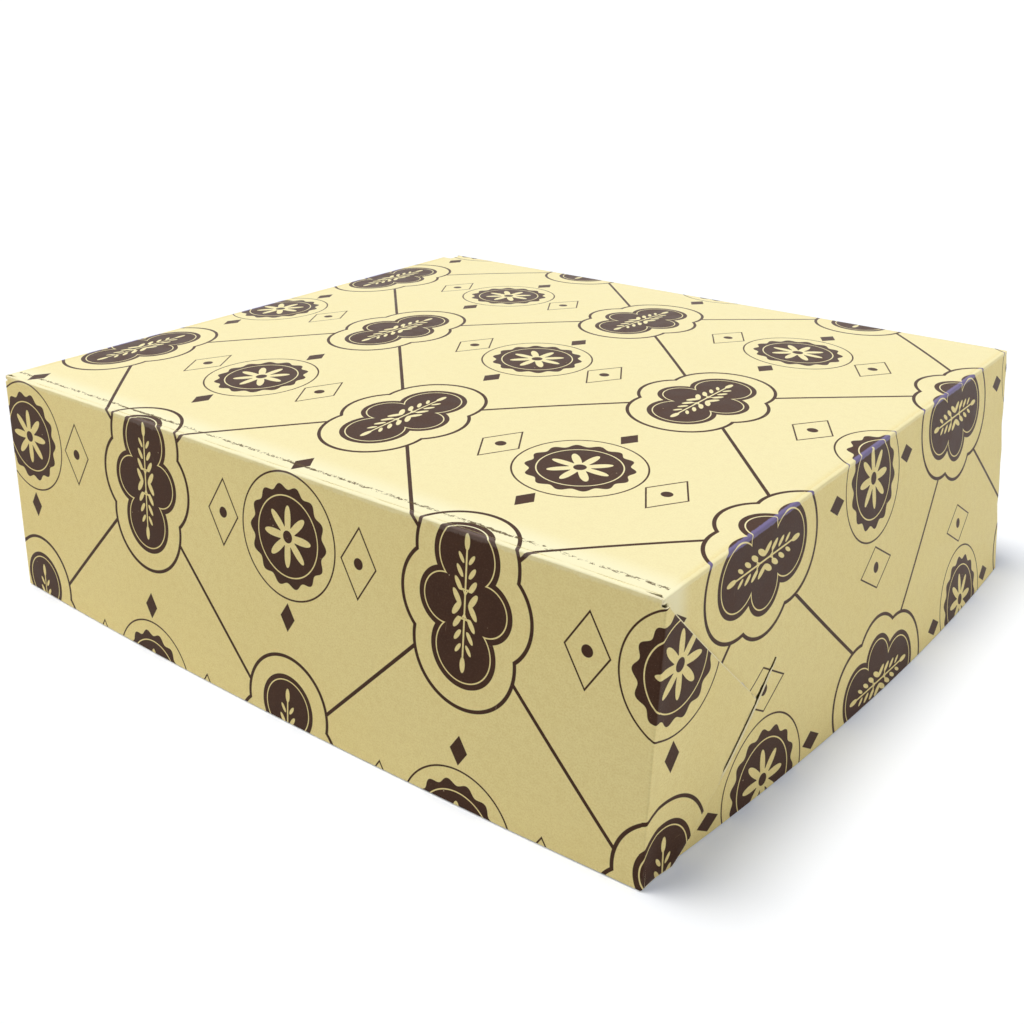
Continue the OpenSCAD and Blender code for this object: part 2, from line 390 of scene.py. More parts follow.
def start_material(name):
    global material
    material = bpy.data.materials.new(name)
    material.use_nodes = True
    material.node_tree.nodes.clear()
    shader = add_node("ShaderNodeBsdfPrincipled")
    out = add_node("ShaderNodeOutputMaterial")
    material.node_tree.links.new(shader.outputs[0], out.inputs["Surface"])
    return shader


def give_surface(shader, colour, roughness, specular):
    names = ("Base Color", "Roughness", "Specular IOR Level")
    plug_all((colour, roughness, specular), [shader.inputs[name] for name in names])


def give_relief(shader, height, distance, strength):
    bump = add_node("ShaderNodeBump")
    plug_named(bump, Height=height, Distance=distance, Strength=strength)
    plug(bump.outputs[0], shader.inputs["Normal"])


def linear(red, green, blue):
    """The shader's own colour values for a colour as a screen shows it, 0 to 255."""
    parts = [value / 255 for value in (red, green, blue)]
    return (*[p / 12.92 if p <= 0.04045 else ((p + 0.055) / 1.055) ** 2.4 for p in parts], 1)


print("cream on screen is", [round(part, 3) for part in linear(247, 233, 170)[:3]], "in the shader")

# %% [markdown]
# ### The printed side
# Two plates print the board: a flat cream ground and a chocolate line plate. The motifs are common
# bakery ornament: long quatrefoils with a wheat spray, small rosettes between thin lozenges, and a
# trellis that ties the quatrefoils together. All have two mirror lines, so one quarter of a cell
# is enough: the place is folded into it, and every line is drawn from its distance in millimetres.

# %% Place in the repeat
CREAM = linear(247, 233, 170)
CREAM_BLOTCH = linear(245, 230, 165)
CREAM_DEEP = linear(230, 210, 143)
CREAM_PALE = linear(253, 247, 208)
CHOCOLATE = linear(66, 41, 27)
REPEAT_U, REPEAT_V = 132.0, 136.0
SHIFT_U, SHIFT_V = 10.0, -67.0

printed_shader = start_material("printed_board")
printed_board = material
sheet_place = add_node("ShaderNodeUVMap", uv_map="sheet").outputs[0]
in_mm = add_node("ShaderNodeVectorMath", operation="SCALE")
plug(sheet_place, in_mm.inputs[0])
in_mm.inputs["Scale"].default_value = 1000
in_mm = in_mm.outputs[0]
split = add_node("ShaderNodeSeparateXYZ")
plug(in_mm, split.inputs[0])
sheet_u, sheet_v = split.outputs[0], split.outputs[1]


def fold_place(value, shift, repeat):
    """Distance from the nearest mirror line of the repeat, in one direction."""
    return size_of(less(sums("FLOORED_MODULO", less(value, shift - repeat / 2), repeat), repeat / 2))


half_u, half_v = REPEAT_U / 2, REPEAT_V / 2
fold_u = fold_place(sheet_u, SHIFT_U, REPEAT_U)
fold_v = fold_place(sheet_v, SHIFT_V, REPEAT_V)
share_u, share_v = times(fold_u, 1 / half_u), times(fold_v, 1 / half_v)
beyond = sums("GREATER_THAN", add(share_u, share_v), 1)
main_u, main_v = pick(beyond, fold_u, less(half_u, fold_u)), pick(beyond, fold_v, less(half_v, fold_v))
beside = sums("GREATER_THAN", share_u, share_v)
small_u = pick(beside, fold_u, less(half_u, fold_u))
small_v = pick(beside, less(half_v, fold_v), fold_v)
print("the print repeats every", REPEAT_U, "by", REPEAT_V, "mm")

# %% Quatrefoil with a wheat spray
LOBE_V, LOBE_V_R = 13.2, 10.8
LOBE_U, LOBE_U_R = 6.6, 8.8
RING_OFF, RING_WIDTH = 6.0, 1.1
SPRAY_STEP, SPRAY_TURN = 3.7, radians(32)

lobe_v = less(length_of(main_u, less(main_v, LOBE_V)), LOBE_V_R)
lobe_u = less(length_of(less(main_u, LOBE_U), main_v), LOBE_U_R)
quatrefoil = lower(lobe_v, lobe_u)
spray_row = sums("FLOOR", times(main_v, 1 / SPRAY_STEP))
spray_v = less(main_v, times(add(spray_row, 0.42), SPRAY_STEP))
spray_scale = less(1.12, times(spray_row, 0.13))
ear_u = less(main_u, times(spray_scale, 2.35))
along_grain = add(times(ear_u, sin(SPRAY_TURN)), times(spray_v, cos(SPRAY_TURN)))
over_grain = less(times(ear_u, cos(SPRAY_TURN)), times(spray_v, sin(SPRAY_TURN)))
grain_shape = length_of(times(over_grain, 1 / 0.78), times(along_grain, 1 / 2.2))
spray = inside(times(less(grain_shape, spray_scale), 0.8))
spray = times(spray, sums("LESS_THAN", main_v, 4 * SPRAY_STEP))
tip_grain = length_of(times(main_u, 1 / 0.85), times(less(main_v, 17.2), 1 / 2.3))
spray = higher(spray, inside(times(less(tip_grain, 1), 0.8)))
stem = times(stroke(main_u, 0.55), sums("LESS_THAN", main_v, 15.5))
inner_line = stroke(add(quatrefoil, 1.75), 0.38)
left_open = higher(higher(spray, stem), inner_line)
medallion = times(inside(quatrefoil), less(1, left_open))
medallion_ring = stroke(less(quatrefoil, RING_OFF), RING_WIDTH)
print("quatrefoil", round(2 * (LOBE_U + LOBE_U_R)), "by", round(2 * (LOBE_V + LOBE_V_R)), "mm")

# %% Rosette between lozenges
ROSETTE_R, SCALLOPS, PETALS = 15.0, 14, 8
INNER_RING, OUTER_RING = 12.3, 19.2
FINIAL_AT, FINIAL_U, FINIAL_V = 25.2, 3.0, 4.6
LOZENGE_AT, LOZENGE_U, LOZENGE_V = 28.2, 6.6, 10.5

rosette_r = length_of(small_u, small_v)
rosette_turn = sums("ARCTAN2", small_v, small_u)
scallops = less(rosette_r, add(ROSETTE_R, times(sums("COSINE", times(rosette_turn, SCALLOPS)), 0.75)))
petals = less(rosette_r, add(6.3, times(sums("COSINE", times(rosette_turn, PETALS)), 3.2)))
heart = less(rosette_r, 1.9)
rosette_open = higher(times(inside(petals), less(1, inside(heart))), stroke(less(rosette_r, INNER_RING), 0.4))
rosette = times(inside(scallops), less(1, rosette_open))
rosette_ring = stroke(less(rosette_r, OUTER_RING), 0.55)
finial = add(times(small_u, 1 / FINIAL_U), times(size_of(less(small_v, FINIAL_AT)), 1 / FINIAL_V))
finial = inside(times(less(finial, 1), 2.5))
lozenge = add(times(size_of(less(small_u, LOZENGE_AT)), 1 / LOZENGE_U), times(small_v, 1 / LOZENGE_V))
lozenge_line = stroke(times(less(lozenge, 1), 5.6), 0.5)
lozenge_dot = inside(less(length_of(less(small_u, LOZENGE_AT), small_v), 1.7))
print("rosette", round(2 * ROSETTE_R), "mm wide with", PETALS, "petals")

# %% Trellis
trellis = times(less(times(main_u, half_v), times(main_v, half_u)), 1 / hypot(half_u, half_v))
trellis = times(stroke(trellis, RING_WIDTH), sums("GREATER_THAN", quatrefoil, RING_OFF))
line_plate = higher(medallion, higher(medallion_ring, trellis))
line_plate = higher(line_plate, higher(rosette, rosette_ring))
line_plate = higher(line_plate, higher(finial, higher(lozenge_line, lozenge_dot)))
print("print drawn with", len(material.node_tree.nodes), "nodes")

# %% [markdown]
# ### Wear and paper
# A fold stretches the coating, so it is rubbed pale, and a row of short dark ticks runs a few
# millimetres behind the lid's front fold. The ink on the front and hinge folds is paler, partly rubbed and
# partly a painted highlight, and on the lid's end folds it carries a violet painted highlight. The lid's top
# is painted lighter, as where more light falls, and a pale band behind its front fold is partly rubbed and
# partly painted light. The chocolate areas show fine scratches and pin holes. All of it follows the
# distance from the fold in the flat sheet, so it can't slide off the fold when the lid moves.

# %% Noises, rubbed folds and their painted highlights
RIDGE_FRONT = (FLAT_FRONT - ARC / 2) / MM
RIDGE_END = (TOP_HALF + ARC / 2) / MM
RIDGE_BACK = (FLAT_BACK + ARC / 2) / MM

mottle = grain(stretched(in_mm, (0.02, 0.02, 0.02)), 1, 3)
tooth = grain(in_mm, 1.9, 3, 0.6)
blotches = grain(in_mm, 0.4, 3, 0.6)
cloudy = grain(stretched(in_mm, (0.16, 0.16, 0.16)), 1, 4, 0.6)
rough_edge = times(less(grain(in_mm, 0.45, 4, 0.7), 0.5), 2.4)

from_front = less(sheet_v, RIDGE_FRONT)
# These masks mark the rubbed folds; through the ink colours below they also carry painted highlights on the
# folds.
front_rub_and_highlight = ramp(add(size_of(from_front), rough_edge), 0.7, 1.5, 1, 0)
from_end = size_of(less(size_of(sheet_u), RIDGE_END))
end_rub_and_highlight = ramp(add(from_end, times(rough_edge, 0.35)), 0.75, 1.05, 1, 0)
end_rub_and_highlight = times(end_rub_and_highlight, sums("GREATER_THAN", sheet_v, FLAT_FRONT / MM))
back_rub_and_highlight = ramp(add(size_of(less(sheet_v, RIDGE_BACK)), rough_edge), 0.6, 1.5, 1, 0)
rubbed = higher(higher(front_rub_and_highlight, end_rub_and_highlight), back_rub_and_highlight)
print("ridges at", [round(v, 1) for v in (RIDGE_FRONT, RIDGE_END, RIDGE_BACK)], "mm in the flat sheet")

# %% Ticks behind the front fold
TICK_PLACE, TICK_SWAY, TICK_WIDTH = 4.55, 2.8, 1.0

tick_wave = grain(stretched(in_mm, (0.3, 0, 0)), 1, 4, 0.7)
tick_line = less(from_front, add(TICK_PLACE, times(less(tick_wave, 0.5), TICK_SWAY)))
tick_noise = grain(stretched(in_mm, (0.55, 1.3, 0)), 1, 4, 0.75)
tick_patch = grain(stretched(in_mm, (0.03, 0, 0), 0, (3.3, 0, 0)), 1, 2)
tick_share = ramp(add(tick_noise, times(tick_patch, 0.5)), 0.725, 0.765)
ticks = times(stroke(tick_line, TICK_WIDTH, 0.22), tick_share)
ticks = times(ticks, sums("LESS_THAN", size_of(sheet_u), TOP_HALF / MM))
print("ticks", TICK_PLACE, "mm behind the ridge, along", round(2 * TOP_HALF / MM), "mm of the fold")

# %% Scratches and pin holes
scratch_a = grain(stretched(in_mm, (0.9, 0.06, 0.1), 0.5), 1.2, 3, 0.6)
scratch_b = grain(stretched(in_mm, (0.05, 1.1, 0.1), 0.25), 1.2, 3, 0.6)
scratches = higher(ramp(scratch_a, 0.70, 0.76), ramp(scratch_b, 0.70, 0.76))
pin_cells = add_node("ShaderNodeTexVoronoi", feature="F1")
plug_named(pin_cells, Vector=in_mm, Scale=0.28)
pin_holes = inside(less(times(pin_cells.outputs["Distance"], 3.6), 0.22), 0.08)
pin_holes = times(pin_holes, ramp(cloudy, 0.5, 0.62))
print("a pin hole about every", round(1 / pin_cells.inputs["Scale"].default_value, 1), "mm")

# %% Tones of the worn inks and of the painted fold highlights
INK_WARM, INK_PALE = linear(76, 50, 36), linear(98, 74, 58)
SCRATCHED_INK = linear(190, 170, 140)
# Ink on the front and hinge folds is paler, partly from rubbing and partly a painted highlight; the violet is
# a painted highlight on the end folds.
RUBBED_INK_AND_HIGHLIGHT, PAINTED_VIOLET_HIGHLIGHT = linear(128, 112, 106), linear(124, 114, 158)
TICK_TONE = linear(88, 68, 34)
print("five tones of worn ink and one of the ticks")

# %% Colour of the ground
ground = blend_colour(ramp(mottle, 0.35, 0.7), CREAM, CREAM_BLOTCH)
ground = blend_colour(ramp(blotches, 0.4, 0.7, 0, 0.3), ground, CREAM_DEEP)
ground = blend_colour(ramp(tooth, 0.35, 0.72, 0, 0.65), ground, CREAM_DEEP)
# Painted light: the cream of the lid's top panel is made paler, as if it were more lit than the skirts.
painted_top_light = lower(ramp(from_front, 0, 3), ramp(less(RIDGE_BACK, sheet_v), 0, 3))
painted_top_light = lower(painted_top_light, ramp(less(RIDGE_END, size_of(sheet_u)), 0, 3))
ground = blend_colour(times(painted_top_light, 0.45), ground, CREAM_PALE)
# A pale band behind the front fold: partly rubbed wear, partly painted light.
by_fold = times(ramp(from_front, 4.5, 13.0, 0.85, 0), sums("GREATER_THAN", from_front, -0.3))
ground = blend_colour(by_fold, ground, CREAM_PALE)
print("ground worked out with", len(material.node_tree.nodes), "nodes")

# %% Colour of the ink
ink = blend_colour(ramp(cloudy, 0.3, 0.75, 0, 0.5), CHOCOLATE, INK_WARM)
ink = blend_colour(ramp(tooth, 0.45, 0.75, 0, 0.35), ink, INK_PALE)
worn = higher(times(scratches, 0.30), times(pin_holes, 0.8))
ink = blend_colour(worn, ink, SCRATCHED_INK)
# The ink on the front and hinge folds is paler: partly rubbed wear, partly a painted highlight.
ink = blend_colour(times(higher(front_rub_and_highlight, back_rub_and_highlight), 0.5), ink, RUBBED_INK_AND_HIGHLIGHT)
# Painted highlight: the ink on the lid's end folds is coloured violet, standing for a reflection of the
# light.
on_lid = sums("LESS_THAN", sheet_v, RIDGE_BACK)
ink = blend_colour(times(times(end_rub_and_highlight, on_lid), 0.85), ink, PAINTED_VIOLET_HIGHLIGHT)
colour = blend_colour(line_plate, blend_colour(times(rubbed, 0.4), ground, CREAM_PALE), ink)
colour = blend_colour(times(ticks, 0.92), colour, TICK_TONE)
print("colour worked out with", len(material.node_tree.nodes), "nodes")

# %% Gloss and relief of the printed side
gloss = pick(line_plate, ramp(cloudy, 0.3, 0.8, 0.44, 0.56), ramp(cloudy, 0.3, 0.8, 0.33, 0.46))
give_surface(printed_shader, colour, gloss, 0.09)
plug_named(printed_shader, IOR=1.48)
relief = add(times(tooth, 0.35), add(times(rubbed, times(rough_edge, 0.25)), times(line_plate, 0.10)))
give_relief(printed_shader, relief, 0.00008, 0.42)
print("printed board has", len(material.node_tree.nodes), "nodes")

# %% Bare inside
bare_shader = start_material("bare_board")
bare_board = material
bare_place = add_node("ShaderNodeUVMap", uv_map="sheet").outputs[0]
fibre = grain(stretched(bare_place, (900, 2600, 1)), 1, 4, 0.65)
speck = grain(stretched(bare_place, (1500, 1500, 1)), 1, 1, 0.4)
pulp = grain(stretched(bare_place, (40, 40, 1)), 1, 3, 0.6)
bare = blend_colour(ramp(pulp, 0.3, 0.7), linear(226, 219, 203), linear(216, 208, 190))
bare = blend_colour(ramp(fibre, 0.35, 0.8, 0, 0.5), bare, linear(198, 188, 168))
bare = blend_colour(ramp(speck, 0.74, 0.8, 0, 0.6), bare, linear(150, 136, 112))
give_surface(bare_shader, bare, ramp(fibre, 0.3, 0.8, 0.86, 0.95), 0.25)
give_relief(bare_shader, fibre, 0.0001, 0.6)
print("bare board has", len(material.node_tree.nodes), "nodes")

# %% Cut edge
edge_shader = start_material("cut_edge")
cut_edge = material
edge_place = add_node("ShaderNodeTexCoord").outputs["Object"]
plies = grain(stretched(edge_place, (2500, 2500, 2500)), 1, 3, 0.7)
core = blend_colour(ramp(plies, 0.3, 0.75), linear(255, 247, 212), linear(243, 231, 188))
give_surface(edge_shader, core, 0.85, 0.3)
give_relief(edge_shader, plies, 0.00012, 0.6)
print("cut edge has", len(material.node_tree.nodes), "nodes")

# %% Wall of a slit, painted with shade
slit_shade_shader = start_material("slit_wall")
slit_wall = material
slit_shade_noise = grain(stretched(add_node("ShaderNodeTexCoord").outputs["Object"], (700, 700, 700)), 1, 3, 0.7)
# Painted shade: the slit's wall is coloured dark to stand for the shade inside the narrow slit.
painted_slit_shade = blend_colour(ramp(slit_shade_noise, 0.35, 0.7), linear(84, 70, 40), linear(132, 114, 72))
give_surface(slit_shade_shader, painted_slit_shade, 0.9, 0.1)
print("materials", [m.name for m in (printed_board, bare_board, cut_edge, slit_wall)])

# %% [markdown]
# ## Finishing a panel
# Every piece of board is finished in the same way: the sheet gets its thickness towards the bare
# side, the rim gets the white core, and only real corners stay sharp. Then the piece takes over from
# its solid node. A piece of one body rides on that node's body; a fold between two bodies is only baked in
# place.

# %% Thickness, finish and frame


def give_board(piece, inner_cut):
    """A face in finish 0 gets a bare back and a pale rim; one in finish 2 a bare back and the inner cut."""
    only(piece)
    for finish in (printed_board, bare_board, cut_edge, bare_board, inner_cut):
        piece.data.materials.append(finish)
    wall = piece.modifiers.new("board", "SOLIDIFY")
    wall.thickness, wall.offset = BOARD, -1
    wall.material_offset, wall.material_offset_rim = 1, 2
    bpy.ops.object.modifier_apply(modifier=wall.name)
    bpy.ops.object.shade_smooth_by_angle(angle=radians(32))


def take_over(piece, node, bodies, inner_cut=cut_edge):
    give_board(piece, inner_cut)
    if isinstance(bodies, str):
        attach(piece, bodies)
    else:
        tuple(bodies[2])
        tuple(bodies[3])
        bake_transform(piece)
    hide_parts(node)
    made.append(piece.name)


made = []
print("board", round(BOARD / MM, 2), "mm thick")

# %% [markdown]
# ## Lid top
# The big panel crowns a little, because the board keeps some spring between its folds. A grid that is
# fine enough to bend smoothly is laid flat, its left rear corner is notched to free the fold there,
# and a displacement whose strength fades to nothing at the folds lifts its middle.

# %% Lid top
NOTCH_LENGTH, NOTCH_WIDTH = 7 * MM, 5 * MM


def cut_out(piece, lines, test):
    """Cuts along lines of the flat sheet near a place, then takes out the faces that pass the test."""
    for at, away in lines:
        bpy.ops.mesh.select_all(action="SELECT")
        score(at, away)
    choose_faces(piece, test)
    bpy.ops.mesh.delete(type="FACE")
    bpy.ops.mesh.select_mode(type="VERT")


top = lay_flat("lid_top_panel", (-TOP_HALF, FLAT_FRONT), (TOP_HALF, FLAT_BACK), 6 * MM)
notch_x = NOTCH_WIDTH - FOLD - TOP_HALF
notch_y = FLAT_BACK - NOTCH_LENGTH
cut_out(top, [((notch_x, 0), (1, 0)), ((0, notch_y), (0, 1))], lambda at: at.x < notch_x and at.y > notch_y)
fold_up(top, (0, 0), (0, 0, TOP_Z), (1, 0, 0), (0, 1, 0))
swell(top, "Z", CROWN, crown_share)
take_over(top, "lid_top", "lid")
print("lid top rises to", round(max(v.co.z for v in top.data.vertices) / MM, 2))

# %% [markdown]
# ## End skirts
# Each end skirt hangs from the lid's end fold. It is cut with a slanted slit for the ear's tongue and
# its rear edge runs forwards towards the foot, so that the lid closes over the tray without catching.
# Only its front corner is held, so its rear lower corner springs outwards.

# %% Lock measures
SLIT_LENGTH, SLIT_OPENING, SLIT_ANGLE = 38 * MM, 0.9 * MM, radians(42)
KNIFE_LINE, KNIFE_PRESS = 0.3 * MM, 0.12 * MM
LIP_BAND, LIP_PRESS = 0.45 * MM, 0.27 * MM
SLIT_IN, SLIT_UP = 27 * MM, 14 * MM
TONGUE_WIDTH, TONGUE_LENGTH, TONGUE_R = 24 * MM, 10 * MM, 4 * MM
EAR_START, EAR_R, EAR_FOOT_IN = 0.8 * MM, 1.2 * MM, 4 * MM
REAR_TAPER = 13 * MM
print("slit", round(SLIT_LENGTH / MM), "mm long, tongue", round(TONGUE_WIDTH / MM), "mm wide")

# %% [markdown]
# ### Slits
# A steel rule cuts the slit. Its far lip is turned down a little, which shows as a pale band, and its
# wall is painted dark brown as the shade inside the narrow slit. The knife tool needs a window, so the panel
# is bisected along the four sides of the slit and the strip between them is deleted. More bisects beside it,
# like light creases, give the sheet the points that it needs to bend there when the tongue presses one lip
# in.

# %% Place of a slit
NEAR_SLIT = 0.62
CREASES_ALONG = (-9, -6, -3.5, -1.8, (SLIT_OPENING / 2 + LIP_BAND) / MM, 1.8, 3.5, 5.5, 8)
CREASES_ACROSS = (2.5, 5, 9, 14, 19, 24, 28, 32, 35.5)


def slit_point(along_slit, across_slit, depth):
    """A point by the slit, as distance from the corner and distance from the panel's outer fold plane."""
    return Vector((SLIT_IN + along_slit * cos(SLIT_ANGLE) + across_slit * sin(SLIT_ANGLE),
                   FOLD + depth - SLIT_UP - along_slit * sin(SLIT_ANGLE) + across_slit * cos(SLIT_ANGLE)))


print("light creases by a slit:", len(CREASES_ALONG), "along it and", len(CREASES_ACROSS), "across")

# %% Cutting a slit


def cut_slit(piece, to_flat, depth):
    """Opens a slit in a flat panel. to_flat takes the two distances to the flat sheet."""
    def spot(k, n):
        return to_flat(slit_point(k, n, depth))

    half = SLIT_OPENING / 2
    corners = [spot(0, -half), spot(SLIT_LENGTH, -half), spot(SLIT_LENGTH, half), spot(0, half)]
    middle = sum(corners, Vector((0, 0))) / 4
    sides = [(one, way_out(two - one, middle - one)) for one, two in zip(corners, corners[1:] + corners[:1])]

    def within(at):
        return all(away.dot(at.xy - corner) < 0 for corner, away in sides)

    near = SLIT_LENGTH * NEAR_SLIT
    creases = [(spot(0, n * MM), spot(0, (n + 1) * MM)) for n in CREASES_ALONG]
    creases += [(spot(k * MM, 0), spot((k + 1) * MM, 0)) for k in CREASES_ACROSS]
    for at, away in sides + [(one, two - one) for one, two in creases]:
        choose_faces(piece, lambda place: (place.xy - middle).length < near)
        score(at, away.normalized())
    cut_out(piece, [], within)
    merge_slivers()
    turn_lip(piece, spot)


# %% The pale lip of a slit


def turn_lip(piece, spot):
    """Bares a band along the slit's far side and turns its edge down. spot gives places by the slit."""
    one = spot(0, SLIT_OPENING / 2)
    along = (spot(1, SLIT_OPENING / 2) - one).normalized()
    away = (spot(0, 1) - spot(0, 0)).normalized()
    form = bmesh.from_edit_mesh(piece.data)
    for face in form.faces:
        off = face.calc_center_median().xy - one
        if 0 < off.dot(away) < LIP_BAND and 0 < off.dot(along) < SLIT_LENGTH:
            face.material_index = 2
    bmesh.update_edit_mesh(piece.data)
    choose(piece, lambda at: abs((at.xy - one).dot(away)) < 0.02 * MM
           and MM < (at.xy - one).dot(along) < SLIT_LENGTH - MM)
    bpy.ops.transform.translate(value=(0, 0, -LIP_PRESS))


print("lip", round(LIP_BAND / MM, 2), "mm wide, turned down", round(LIP_PRESS / MM, 2), "mm")

# %% Swell of a slit's lips
PRESS, LIFT, EAR_TIP = 0.7 * MM, 0.25 * MM, TONGUE_WIDTH + 5 * MM
print("the tongue presses one lip in", round(PRESS / MM, 2), "mm and lifts the other", round(LIFT / MM, 2))


def smooth(value):
    value = min(1, max(0, value))
    return value * value * (3 - 2 * value)


def from_slit(along_y, down_z, depth):
    """A place as distance along the slit and distance across it."""
    off = Vector((along_y, down_z)) - slit_point(0, 0, depth)
    return (off.x * cos(SLIT_ANGLE) - off.y * sin(SLIT_ANGLE),
            off.x * sin(SLIT_ANGLE) + off.y * cos(SLIT_ANGLE))


def near_lip(along_y, down_z, depth):
    """The tongue presses the lip on the ear's side inwards."""
    k, n = from_slit(along_y, down_z, depth)
    if n > 0:
        return 0
    held = 0.8 * smooth((EAR_TIP - k) / (7 * MM)) + 0.2 * smooth((SLIT_LENGTH - k) / (8 * MM))
    return smooth(k / (6 * MM)) * held * smooth(1 + n / (9 * MM))


def far_lip(along_y, down_z, depth):
    """The lip beyond it rides up on the tongue."""
    k, n = from_slit(along_y, down_z, depth)
    if n < 0:
        return 0
    return smooth(k / (5 * MM)) * smooth((SLIT_LENGTH - k) / (16 * MM)) * smooth(1 - n / (8 * MM))


def form_lips(panel, side, place, depth):
    """place gives the two distances of a point from the corner and from the fold."""
    swell(panel, "X", -side * PRESS, lambda at: near_lip(*place(at), depth))
    swell(panel, "X", side * LIFT, lambda at: far_lip(*place(at), depth))


# %% End skirts


def from_lid_corner(at):
    return at.y - FRONT_Y, TOP_Z - at.z


def end_skirt(name, side, relief):
    def to_flat(point):
        return Vector((side * (FLAT_END + point[1] - FOLD), FRONT_Y + point[0]))

    head, foot = to_flat((FOLD, FOLD)), to_flat((WIDTH - FOLD, FOLD + SKIRT_DEPTH))
    skirt = lay_flat(name, head, foot, 5 * MM)
    rear_head = to_flat((WIDTH - FOLD - relief, FOLD))
    rear_foot = to_flat((WIDTH - FOLD - REAR_TAPER, FOLD + SKIRT_DEPTH))
    edge = rear_foot - rear_head
    trim(rear_head, Vector((-edge.y, edge.x)) * side)
    cut_slit(skirt, to_flat, SKIRT_DEPTH)
    fold_up(skirt, head, (side * LID_HALF, FRONT_Y + FOLD, FOLD_Z), (0, 0, -side), (0, 1, 0))
    form_lips(skirt, side, from_lid_corner, SKIRT_DEPTH)
    swell(skirt, "X", side * (END_BOW + END_FLARE), end_share)
    return skirt


for name, side, relief in (("right", 1, 0), ("left", -1, NOTCH_LENGTH)):
    skirt = end_skirt(name + "_skirt_panel", side, relief)
    take_over(skirt, name + "_skirt", "lid", slit_wall)
    print(skirt.name, "reaches", round(max(side * v.co.x for v in skirt.data.vertices) / MM, 1))

# %% [markdown]
# ## Front skirt
# The front skirt is a plain long panel. It leans out a little and swells at its lower edge, which
# keeps the bottom line of the box gently curved in the photograph.

# %% Front skirt
foot = FLAT_SKIRT - SKIRT_DEPTH
front = lay_flat("front_skirt_panel", (-SKIRT_HALF, foot), (SKIRT_HALF, FLAT_SKIRT), 5 * MM)
fold_up(front, (0, FLAT_SKIRT), (0, FRONT_Y, FOLD_Z), (1, 0, 0), (0, 0, 1))
swell(front, "Y", -(FRONT_LEAN + FRONT_BOW), front_share)
take_over(front, "front_skirt", "front_flap")
print("front skirt swells to", round(min(v.co.y for v in front.data.vertices) / MM, 1))

# %% [markdown]
# ## Folds
# A scored board folds along a line, so its ridge is much tighter than the fold is wide. One row of
# edges is spun about the ridge for the tight round, and both of its rims are extruded to the panels.
# A plain bevel of a whole panel would do as well; here each fold is a strip of its own.
# The way round the ridge is the place in the flat sheet, so the print crosses the fold without a step.

# %% A rolled fold
RIDGE_R, ROLL_STEPS = 0.45 * MM, 6
FACES_ON = 0.985
print("ridge radius", round(RIDGE_R / MM, 2), "mm in", ROLL_STEPS, "steps")


def rolled_fold(name, start, axis, length, outward, turned,
                flat_start, flat_along, flat_across, round_r=RIDGE_R):
    """start is a point of the fold's axis. The roll goes from the outward direction to the turned one."""
    start = Vector(start)
    axis, outward, turned = (Vector(v).normalized() for v in (axis, outward, turned))
    plain = FOLD - round_r
    way = 2 * plain + round_r * pi / 2
    ridge = start + (outward + turned) * plain
    bpy.ops.object.select_all(action="DESELECT")
    cells = max(2, round(length / (4 * MM)))
    bpy.ops.mesh.primitive_grid_add(x_subdivisions=cells, y_subdivisions=1, size=1)
    strip = bpy.context.active_object
    strip.name = strip.data.name = name
    bpy.ops.object.mode_set(mode="EDIT")
    choose(strip, lambda at: at.y > 0)
    bpy.ops.mesh.delete(type="VERT")
    bpy.ops.object.mode_set(mode="OBJECT")
    lie = Matrix((axis * length, turned, outward)).transposed().to_4x4()
    to_edge = Matrix.Translation((0.5, 0.5, 0))
    strip.matrix_world = Matrix.Translation(ridge + outward * round_r) @ lie @ to_edge
    bpy.ops.object.transform_apply(location=True, rotation=True, scale=True)
    bpy.ops.object.mode_set(mode="EDIT")
    bpy.ops.mesh.select_all(action="SELECT")
    sense = -1 if axis.cross(outward).dot(turned) > 0 else 1
    bpy.ops.mesh.spin(steps=ROLL_STEPS, angle=sense * pi / 2, center=ridge, axis=axis)
    if plain > 0:
        for side_one, side_two in ((outward, turned), (turned, outward)):
            choose(strip, lambda at: (at - ridge).dot(side_one) > FACES_ON * round_r)
            bpy.ops.mesh.extrude_edges_move(TRANSFORM_OT_translate={"value": -side_two * plain})
    bpy.ops.mesh.select_all(action="SELECT")
    bpy.ops.mesh.remove_doubles(threshold=0.00001)
    bpy.ops.mesh.normals_make_consistent(inside=False)
    bpy.ops.object.mode_set(mode="OBJECT")

    def flat(place):
        off = place - start
        out, over = off.dot(outward), off.dot(turned)
        round_share = atan2(max(0, over - plain), max(0, out - plain)) if out > plain or over > plain else 0
        gone = min(over, plain) + round_r * round_share + plain - min(out, plain)
        rolled = gone / way * ARC
        return [flat_start[i] + off.dot(axis) * flat_along[i] + rolled * flat_across[i] for i in (0, 1)]

    keep_print_place(strip, flat)
    lowest = max(strip.data.polygons, key=lambda face: (face.center - start).dot(outward))
    if lowest.normal.dot(outward) < 0:
        bpy.ops.object.mode_set(mode="EDIT")
        bpy.ops.mesh.select_all(action="SELECT")
        bpy.ops.mesh.flip_normals()
        bpy.ops.object.mode_set(mode="OBJECT")
    return strip


# %% [markdown]
# ### Corners of the lid
# At its two front corners the lid's front fold meets an end fold. The board is torn there: a small flake
# of the ridge shows the pale core. Both strips are bisected along the corner's diagonal,
# so they meet like a mitre, and a thin wedge behind the ridge is deleted. A boolean would do it too, but
# it leaves a rougher mesh on a single sheet.

# %% Mitres of the lid's folds
MITRE_GAP = 0.03 * MM
print("mitres leave", round(MITRE_GAP / MM, 2), "mm between two folds")


